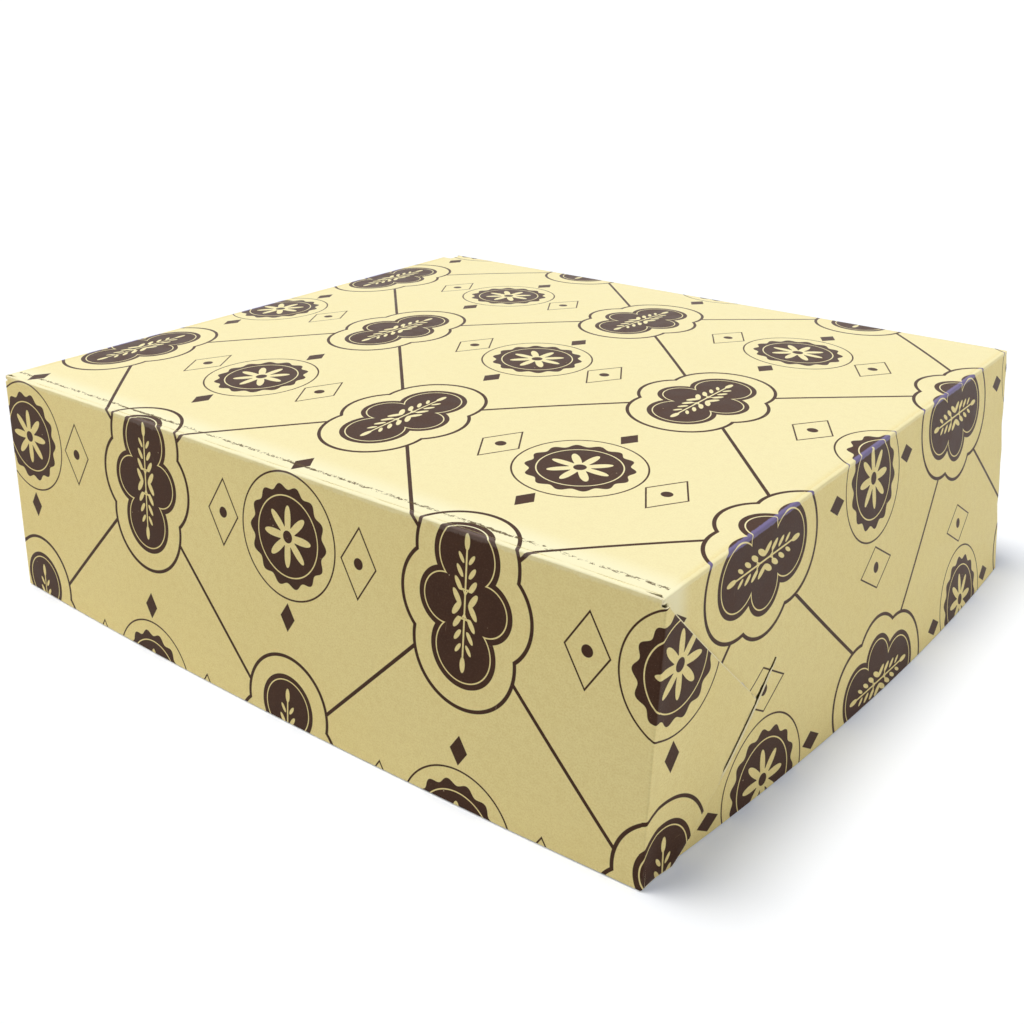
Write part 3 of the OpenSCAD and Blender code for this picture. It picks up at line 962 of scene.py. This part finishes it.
def saw(strip, planes):
    """Cuts off what lies beyond each plane of a folded strip."""
    only(strip)
    bpy.ops.object.mode_set(mode="EDIT")
    for at, away in planes:
        bpy.ops.mesh.select_all(action="SELECT")
        bpy.ops.mesh.bisect(plane_co=at, plane_no=away, clear_outer=True)
    bpy.ops.object.mode_set(mode="OBJECT")


def mitre(strip, side, keep_front):
    """Cuts a fold off along the corner's diagonal, where the front fold and an end fold meet."""
    sense = 1 if keep_front else -1
    saw(strip, [((side * (TOP_HALF - sense * MITRE_GAP), FLAT_FRONT, 0), (side * sense, sense, 0))])


# %% Torn corner of the lid
TEAR_LENGTH, TEAR_OPENING = 4.2 * MM, 1.3 * MM
TEAR_BEFORE, TEAR_RISE = 0.6 * MM, 0.08 * MM
FLAKE_START, FLAKE_FOOT = 1.6 * MM, FOLD_Z + 0.75 * MM
print("tear", round(TEAR_LENGTH / MM, 1), "mm long, flake from", round(FLAKE_START / MM, 1), "mm on")


def tear_corner(strip, side):
    """Opens a thin wedge behind the ridge and bares the core of the ridge's last millimetres."""
    tip = Vector((side * (TOP_HALF - TEAR_LENGTH), FLAT_FRONT - TEAR_BEFORE))
    end = tip + Vector((side * (TEAR_LENGTH + FOLD), TEAR_RISE))
    ends = [end + Vector((0, spread * TEAR_OPENING / 2)) for spread in (-1, 1)]
    lines = [(at - tip).orthogonal().normalized() for at in ends]
    only(strip)
    bpy.ops.object.mode_set(mode="EDIT")
    for across in lines + [Vector((1, 0))]:
        choose(strip, lambda at: side * at.x > TOP_HALF - TEAR_LENGTH - 5 * MM)
        score(tip, across)
    form = bmesh.from_edit_mesh(strip.data)
    torn = []
    for face in form.faces:
        off = face.calc_center_median() - Vector((*tip, 0))
        beyond = side * off.x
        if beyond <= 0:
            continue
        gone = beyond / (TEAR_LENGTH + FOLD)
        if abs(off.y - TEAR_RISE * gone) < TEAR_OPENING / 2 * gone and face.normal.z > 0.9:
            torn.append(face)
        elif off.y < 0 and beyond > FLAKE_START and face.calc_center_median().z > FLAKE_FOOT:
            face.material_index = 2
    for face in form.faces:
        face.select = face in torn
    bmesh.update_edit_mesh(strip.data)
    bpy.ops.mesh.select_mode(type="FACE")
    bpy.ops.mesh.delete(type="FACE")
    bpy.ops.mesh.select_mode(type="VERT")
    bpy.ops.object.mode_set(mode="OBJECT")
    return len(torn)


# %% Front fold of the lid
DENT = 0.22 * MM
fold = rolled_fold("front_fold_strip", (-LID_HALF, FLAT_FRONT, FOLD_Z), (1, 0, 0), 2 * LID_HALF,
                   (0, 0, 1), (0, -1, 0), (-LID_HALF, FLAT_FRONT), (1, 0), (0, -1))
for side in (-1, 1):
    mitre(fold, side, True)
    print("torn faces at a corner", tear_corner(fold, side))


def dented(at):
    """How far the ridge is pressed in along its length, 0 to 1."""
    x = at.x / MM
    wave = sin(x / 6.1 + 0.7) * sin(x / 2.3) + 0.6 * sin(x / 13.7) * sin(x / 4.9 + 2)
    return min(1, max(0, 0.5 + 0.4 * wave)) if at.z > TOP_Z - 0.9 * RIDGE_R else 0


swell(fold, "Z", -DENT, dented)
take_over(fold, "front_skirt_crease",
          ("lid", "front_flap", (0, FLAT_FRONT, TOP_Z), (0, FRONT_Y, FOLD_Z)))

print(made[-1], "with", len(fold.data.polygons), "faces")

# %% End folds and hinge fold of the lid
for name, side, relief in (("right", 1, 0), ("left", -1, NOTCH_LENGTH)):
    fold = rolled_fold(name + "_skirt_fold", (side * TOP_HALF, FRONT_Y, FOLD_Z), (0, 1, 0),
                       FLAT_BACK - FRONT_Y - relief, (0, 0, 1), (side, 0, 0),
                       (side * TOP_HALF, FRONT_Y), (0, 1), (side, 0))
    mitre(fold, side, False)
    take_over(fold, name + "_skirt_crease", "lid")

hinge_half = TRAY_HALF - FOLD
fold = rolled_fold("hinge_fold", (-hinge_half, FLAT_BACK, FOLD_Z), (1, 0, 0), 2 * hinge_half,
                   (0, 0, 1), (0, 1, 0), (-hinge_half, FLAT_BACK), (1, 0), (0, 1), FOLD)
take_over(fold, "hinge_crease",
          ("tray", "lid", (0, BACK_Y, FOLD_Z), (0, FLAT_BACK, TOP_Z)))
print("folds of the lid", made[-4:])

# %% [markdown]
# ## Lock ears
# An ear is the triangle at each end of the front skirt. It turns the corner, lies on the end skirt and
# ends along the line of the slit, where its tongue dives through. The outline is trimmed line by line,
# and a few tangent cuts round a corner better than a bevel on a cut-out edge would. The knife leaves a
# pale line along every cut, which is a narrow inset of the outline with its rim pressed in.

# %% Pale line along a cut
print("knife line", round(KNIFE_LINE / MM, 2), "mm wide, pressed in", round(KNIFE_PRESS / MM, 2), "mm")


def bare_the_cut(piece, fold_from, fold_to):
    """Insets the outline by a hair and bares the core there, but not along the fold."""
    along = (fold_to - fold_from).normalized()
    merge_slivers()
    bpy.ops.mesh.select_mode(type="FACE")
    bpy.ops.mesh.select_all(action="SELECT")
    bpy.ops.mesh.inset(thickness=KNIFE_LINE, use_boundary=True, use_even_offset=True)
    form = bmesh.from_edit_mesh(piece.data)
    for face in form.faces:
        off = face.calc_center_median().xy - fold_from
        by_fold = (off - along * off.dot(along)).length < KNIFE_LINE
        if not face.select and not by_fold:
            face.material_index = 2
    bmesh.update_edit_mesh(piece.data)
    bpy.ops.mesh.select_mode(type="VERT")
    outline = {point.index for edge in form.edges if edge.is_boundary for point in edge.verts}
    for point in form.verts:
        off = point.co.xy - fold_from
        point.select = point.index in outline and (off - along * off.dot(along)).length > KNIFE_LINE
    form.select_flush(True)
    bmesh.update_edit_mesh(piece.data)
    bpy.ops.transform.translate(value=(0, 0, -KNIFE_PRESS))


# %% Cutting a round corner
ROUND_CUTS = 4
print("a round corner takes", ROUND_CUTS + 1, "cuts")


def trim_round(before, corner, after, radius, to_flat, steps=ROUND_CUTS):
    """Cuts the two sides of an outline's corner and rounds it with tangent cuts."""
    one, two = (before - corner).normalized(), (after - corner).normalized()
    half = acos(max(-1, min(1, one.dot(two)))) / 2
    centre = corner + (one + two).normalized() * radius / sin(half)
    first, second = (way_out(line, centre - corner) for line in (one, two))
    for i in range(steps + 1):
        away = (first * (steps - i) + second * i).normalized()
        at = to_flat(centre + away * radius)
        beyond_at = to_flat(centre + away * 2 * radius)
        trim(at, (beyond_at - at).normalized())


# %% Outline of an ear


def ear_corners(depth, lean):
    head = FOLD / cos(atan(lean / depth))
    start = Vector((head - lean * EAR_START / depth, FOLD + EAR_START))
    tip = slit_point(TONGUE_WIDTH + EAR_R, -BOARD / 2, depth)
    bend = slit_point(0, -BOARD / 2, depth)
    on_line = SLIT_IN - SLIT_UP / tan(SLIT_ANGLE)
    foot = Vector((max(head + EAR_R, on_line - EAR_FOOT_IN), FOLD + depth))
    heel = Vector((head - lean, FOLD + depth))
    return start, tip, bend, foot, heel


def trim_line(one, two, within, to_flat):
    """Cuts along the line from one to two and keeps the side where the third point lies."""
    one, two, within = to_flat(one), to_flat(two), to_flat(within)
    trim(one, way_out(two - one, within - one).normalized())


print("ear corners", [tuple(round(v / MM, 1) for v in at) for at in ear_corners(SKIRT_DEPTH, FRONT_LEAN)])

# %% Cutting an ear and its tongue
EAR_CELL, TONGUE_CELL = 2.5 * MM, 0.7 * MM


def cut_ear(name, to_flat, depth, lean):
    start, tip, bend, foot, heel = ear_corners(depth, lean)
    far_corner = to_flat(Vector((tip.x + EAR_R, heel.y)))
    ear = lay_flat(name, to_flat(Vector((heel.x, start.y))), far_corner, EAR_CELL)
    trim_round(start, tip, bend, EAR_R, to_flat)
    trim_line(bend, foot, start, to_flat)
    trim_line(start, heel, tip, to_flat)
    bare_the_cut(ear, to_flat(start), to_flat(heel))
    bpy.ops.object.mode_set(mode="OBJECT")
    return ear


def cut_tongue(name, to_flat, depth):
    """The tongue starts at the ear's edge and reaches behind the panel."""
    near, far = GAP, TONGUE_WIDTH
    start = -BOARD / 2
    sides = [slit_point(k, n, depth) for k, n in
             ((near, start), (near, TONGUE_LENGTH), (far, TONGUE_LENGTH), (far, start))]
    spots = [to_flat(s) for s in sides]
    low = Vector((min(s.x for s in spots), min(s.y for s in spots)))
    high = Vector((max(s.x for s in spots), max(s.y for s in spots)))
    tongue = lay_flat(name, low, high, TONGUE_CELL)
    trim_line(sides[0], sides[3], sides[1], to_flat)
    trim_round(sides[0], sides[1], sides[2], TONGUE_R, to_flat)
    trim_round(sides[1], sides[2], sides[3], TONGUE_R, to_flat)
    bpy.ops.object.mode_set(mode="OBJECT")
    return tongue


# %% Bends of an ear and its tongue
HEEL_LIFT, EAR_PRESS = 0.7 * MM, 0.95 * MM
DIVE = GAP + BOARD + GAP + BOARD
print("a tongue dives", round(DIVE / MM, 1), "mm, its ear's heel lifts", round(HEEL_LIFT / MM, 1), "mm")


def dive_share(along_y, down_z, depth):
    """The tongue leaves the ear at the height of the pressed lip and ends under the panel."""
    k, n = from_slit(along_y, down_z, depth)
    start = smooth(k / (6 * MM)) * smooth((EAR_TIP - k) / (7 * MM)) * EAR_PRESS / DIVE
    return start + (1 - start) * smooth((n + BOARD / 2) / (1.8 * MM))


def heel_share(along_y, down_z, depth):
    """The ear's free foot stands off the skirt a little."""
    k, n = from_slit(along_y, down_z, depth)
    return smooth((-k - 3 * MM) / (17 * MM)) * smooth(1 + n / (14 * MM))


# %% Lock ears of the lid


def lock_ear(word, side):
    def to_flat(point):
        return Vector((side * (FLAT_EAR + point[0] - FOLD), FLAT_SKIRT - (point[1] - FOLD)))

    head = FOLD / cos(LEAN)

    def print_place(place):
        out, below = side * place.x - FLAT_EAR + FOLD - head, FLAT_SKIRT - place.y
        return (side * (FLAT_EAR + out * cos(LEAN) + below * sin(LEAN)),
                FLAT_SKIRT + out * sin(LEAN) - below * cos(LEAN))

    for part, cut, sizes, bends in (
            ("ear", cut_ear, (SKIRT_DEPTH, FRONT_LEAN), ((-EAR_PRESS, near_lip), (HEEL_LIFT, heel_share))),
            ("tongue", cut_tongue, (SKIRT_DEPTH,), ((-DIVE, dive_share),))):
        piece = cut(word + "_lock_" + part + "_panel", to_flat, *sizes)
        fold_up(piece, to_flat((FOLD, FOLD)), (side * EAR_HALF, FRONT_Y + FOLD, FOLD_Z),
                (0, side, 0), (0, 0, 1), print_place)
        for reach, share in bends:
            swell(piece, "X", side * reach, lambda at: share(*from_lid_corner(at), SKIRT_DEPTH))
        swell(piece, "X", side * (END_BOW + END_FLARE), end_share)
        take_over(piece, word + "_lock_" + part, word + "_ear")


# %% Folds of the lock ears


def lock_fold(word, side):
    """The fold that carries the ear. It leans with the front skirt and is cut level at both ends."""
    top_point = Vector((side * SKIRT_HALF, FRONT_Y, FOLD_Z))
    line = Vector((0, sin(LEAN), cos(LEAN)))
    outward = Vector((0, -cos(LEAN), sin(LEAN)))
    length = (SKIRT_DEPTH + 2 * FOLD) / cos(LEAN)
    start = top_point - outward * FOLD - line * (length - FOLD)
    flat_start = (side * SKIRT_HALF, FLAT_SKIRT - (length - FOLD))
    crease = rolled_fold(word + "_lock_fold", start, line, length, outward, (side, 0, 0),
                         flat_start, (0, 1), (side, 0))
    saw(crease, [((0, 0, FOLD_Z - EAR_START), (0, 0, 1)), ((0, 0, SKIRT_FOOT), (0, 0, -1))])
    centre = top_point - outward * FOLD
    take_over(crease, word + "_lock_crease", ("front_flap", word + "_ear", centre + outward * FOLD,
              centre + Vector((side, 0, 0)) * FOLD))


for word, side in (("right", 1), ("left", -1)):
    lock_ear(word, side)
    lock_fold(word, side)
print("lock ears", made[-6:])

# %% [markdown]
# ## Tray
# The tray is the same work once more, upside down: base, four walls, four ears with their tongues, and
# the folds between them. Its walls are flat, because the locks at all four corners hold them square.

# %% Base and long walls
base_half, long_half = WALL_HALF - FOLD, TRAY_HALF - FOLD
rim, foot = FLAT_FRONT_WALL + WALL_DEPTH, FLAT_BACK_WALL + FOLD_Z - FOLD
for name, node, half, head, end, room, along in (
        ("base_sheet", "base_panel", base_half, FLAT_BASE, FLAT_BASE + BASE_WIDTH,
         (0, FLAT_BACK, 0), (0, -1, 0)),
        ("front_wall_panel", "front_wall", long_half, FLAT_FRONT_WALL, rim,
         (0, TRAY_FRONT_Y, FOLD), (0, 0, 1)),
        ("back_wall_panel", "back_wall", long_half, FLAT_BACK_WALL, foot,
         (0, BACK_Y, FOLD_Z), (0, 0, -1))):
    wall = lay_flat(name, (-half, head), (half, end), 8 * MM)
    fold_up(wall, (0, head), room, (1, 0, 0), along)
    take_over(wall, node, "tray")
print("tray", made[-3:])

# %% End walls of the tray


def tray_end(word, side):
    def to_flat(point):
        return Vector((side * (base_half + ARC + point[1] - FOLD), FLAT_BASE + BASE_WIDTH + FOLD - point[0]))

    def to_flat_back(point):
        return Vector((side * (base_half + ARC + point[1] - FOLD), FLAT_BASE - FOLD + point[0]))

    low, high = to_flat((FOLD, FOLD)), to_flat_back((FOLD, FOLD + WALL_DEPTH))
    end = lay_flat(word + "_wall_panel", low, high, 5 * MM)
    cut_slit(end, to_flat, WALL_DEPTH)
    cut_slit(end, to_flat_back, WALL_DEPTH)
    fold_up(end, to_flat_back((FOLD, FOLD)), (side * WALL_HALF, FLAT_BACK, FOLD), (0, 0, side), (0, -1, 0))
    take_over(end, word + "_wall", "tray", slit_wall)


print("end walls", round(WALL_DEPTH / MM, 1), "mm deep")

# %% Ears of the tray and their folds


def tray_ear(word, side, where):
    front = where == "front"
    flat_v, sense = (FLAT_FRONT_WALL, 1) if front else (FLAT_BACK_WALL + FOLD_Z - FOLD, -1)
    corner_y, inward = (TRAY_FRONT_Y, 1) if front else (BACK_Y, -1)

    def to_flat(point):
        return Vector((side * (long_half + ARC + point[0] - FOLD), flat_v + sense * (point[1] - FOLD)))

    name = where + "_" + word + "_tray_ear"
    ear = cut_ear(name + "_panel", to_flat, WALL_DEPTH, 0)
    tongue = cut_tongue(name + "_tongue", to_flat, WALL_DEPTH)
    room = (side * TRAY_HALF, corner_y + inward * FOLD, FOLD)
    for piece in (ear, tongue):
        fold_up(piece, to_flat((FOLD, FOLD)), room, (0, side * inward, 0), (0, 0, inward))
    swell(tongue, "X", -side * DIVE, lambda at: dive_share(inward * (at.y - corner_y), at.z, WALL_DEPTH))
    bpy.ops.object.select_all(action="DESELECT")
    tongue.select_set(True)
    ear.select_set(True)
    bpy.context.view_layer.objects.active = ear
    bpy.ops.object.join()
    take_over(ear, name, "tray")
    foot = (side * long_half, corner_y + inward * FOLD, FOLD + EAR_START)
    fold = rolled_fold(name + "_fold", foot, (0, 0, 1), WALL_DEPTH - EAR_START, (0, -inward, 0), (side, 0, 0),
                       (side * long_half, flat_v + sense * EAR_START), (0, sense), (side, 0))
    take_over(fold, where + "_" + word + "_tray_crease", "tray")


for word, side in (("right", 1), ("left", -1)):
    tray_end(word, side)
    for where in ("front", "back"):
        tray_ear(word, side, where)
print("tray ends", made[-10:])

# %% Folds round the base
for word, y, flat_v, away in (("front", TRAY_FRONT_Y + FOLD, FLAT_BASE + BASE_WIDTH, -1),
                              ("back", FLAT_BACK, FLAT_BASE, 1)):
    fold = rolled_fold("base_" + word + "_fold", (-base_half, y, FOLD), (1, 0, 0), 2 * base_half,
                       (0, 0, -1), (0, away, 0), (-base_half, flat_v), (1, 0), (0, -away))
    take_over(fold, "base_" + word + "_crease", "tray")
for word, side in (("right", 1), ("left", -1)):
    corner = (side * base_half, TRAY_FRONT_Y + FOLD, FOLD)
    fold = rolled_fold("base_" + word + "_fold", corner, (0, 1, 0), BASE_WIDTH, (0, 0, -1), (side, 0, 0),
                       (side * base_half, FLAT_BASE + BASE_WIDTH), (0, -1), (side, 0))
    take_over(fold, "base_" + word + "_crease", "tray")
print(len(made), "pieces made")

# %% [markdown]
# ## Floor and light
# The photograph is a cut-out on white with a soft shadow to the right. A pale floor takes the shadow,
# and a faint glow that only the eye sees brings the floor to white; it is stronger away from the box,
# where the lamps don't reach. A broad light from above, a little to the left, casts the shadow, and weak
# lamps at the sides give each face its level, at which the board renders about as its colour is written.

# %% Floor
FLOOR_GLOW, FLOOR_RADIUS = 0.20, 25
NEAR_GLOW, FAR_GLOW = (0.86, 0.98, 1.2, 1), (1.3, 1.3, 1.3, 1)
GLOW_FROM, GLOW_TO = 0.35, 1.1


def by_eye():
    """1 for what the camera sees, also in a gloss or through glass, and 0 for what lights the box."""
    path = add_node("ShaderNodeLightPath")
    seen = higher(path.outputs["Is Camera Ray"], path.outputs["Is Glossy Ray"])
    return higher(seen, path.outputs["Is Transmission Ray"])


bpy.ops.object.select_all(action="DESELECT")
bpy.ops.mesh.primitive_circle_add(vertices=64, radius=FLOOR_RADIUS, fill_type="NGON", location=(0, 0, 0))
floor = bpy.context.active_object
floor.name = "floor"
floor_shader = start_material("pale_floor")
give_surface(floor_shader, (0.8, 0.8, 0.8, 1), 0.9, 0.1)
from_box = add_node("ShaderNodeVectorMath", operation="LENGTH")
plug(add_node("ShaderNodeTexCoord").outputs["Object"], from_box.inputs[0])
far_off = ramp(from_box.outputs["Value"], GLOW_FROM, GLOW_TO)
plug(blend_colour(far_off, NEAR_GLOW, FAR_GLOW), floor_shader.inputs["Emission Color"])
plug(times(by_eye(), FLOOR_GLOW), floor_shader.inputs["Emission Strength"])
floor.data.materials.append(material)
print("floor of", round(floor.dimensions.x), "m")

# %% Sky
SKY_LEVEL = 0.20
world = bpy.data.worlds.new("studio")
bpy.context.scene.world = world
world.use_nodes = True
world.node_tree.nodes.clear()
material = world  # the world has a node tree as well, so the same helpers fill it
fill, white = (add_node("ShaderNodeBackground") for _ in range(2))
for sky, level in ((fill, SKY_LEVEL), (white, 1)):
    plug_named(sky, Color=(1, 1, 1, 1), Strength=level)
mix = add_node("ShaderNodeMixShader")
plug_all((by_eye(), fill.outputs[0], white.outputs[0]), mix.inputs)
plug(mix.outputs[0], add_node("ShaderNodeOutputWorld").inputs["Surface"])
print("sky level", SKY_LEVEL)

# %% Lamps
SUN_LEVEL, SUN_SPREAD, SUN_FROM = 2.5, radians(22), Vector((-0.42, -0.07, 1.6))


def soft_box(name, place, size, power, colour=(1, 1, 1)):
    data = bpy.data.lights.new(name, "AREA")
    data.shape, data.size, data.energy, data.color = "DISK", size, power, colour
    lamp = bpy.data.objects.new(name, data)
    bpy.context.scene.collection.objects.link(lamp)
    lamp.location = place
    lamp.rotation_euler = (Vector((0, 0, 0.03)) - Vector(place)).to_track_quat("-Z", "Y").to_euler()
    return lamp


ceiling_data = bpy.data.lights.new("ceiling", "SUN")
ceiling_data.energy, ceiling_data.angle = SUN_LEVEL, SUN_SPREAD
ceiling = bpy.data.objects.new("ceiling", ceiling_data)
bpy.context.scene.collection.objects.link(ceiling)
ceiling.rotation_euler = (-SUN_FROM).to_track_quat("-Z", "Y").to_euler()
soft_box("right_side", (2.0, 0.5, 0.42), 0.7, 7.5, (1.0, 0.93, 0.78))
soft_box("front_side", (-0.5, -0.42, 0.2), 0.35, 0.53, (1.0, 0.8, 0.4))
soft_box("cool_back", (1.1, 1.9, 1.0), 0.8, 4.0, (0.75, 0.83, 1.0))
bpy.context.scene.view_settings.view_transform = "Standard"
